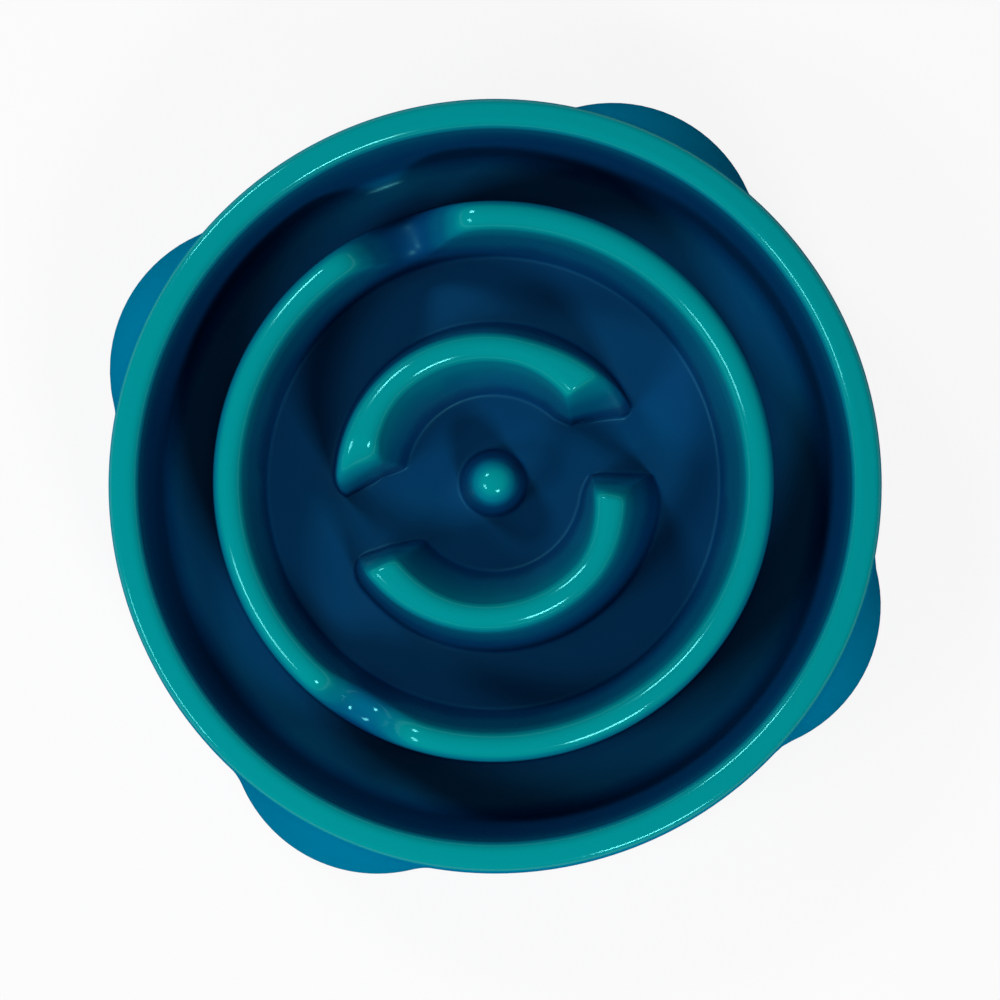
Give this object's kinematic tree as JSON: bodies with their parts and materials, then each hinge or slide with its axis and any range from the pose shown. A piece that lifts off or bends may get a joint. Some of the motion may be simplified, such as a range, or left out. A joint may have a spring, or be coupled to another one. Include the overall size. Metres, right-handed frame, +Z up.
{
  "type": "slow feeder bowl",
  "caption": "Round moulded pet bowl with a maze of raised ridges round a centre knob, a flared skirt with lobed corners and rubber grip feet underneath.",
  "frame": {"origin": "centre of the base, on the surface that the bowl stands on", "axes": "+Z up through the bowl's mouth; +X to the right and +Y to the back of the bowl as the picture shows it from above"},
  "size_m": [0.2926, 0.2926, 0.07],
  "materials": {
    "shell_plastic": "glossy moulded",
    "foot_rubber": "matte"
  },
  "bodies": {
    "root": {"bowl_shell": "shell_plastic", "grip_foot_back_right": "foot_rubber", "grip_foot_back_left": "foot_rubber", "grip_foot_front_left": "foot_rubber", "grip_foot_front_right": "foot_rubber"}
  },
  "joints": []
}
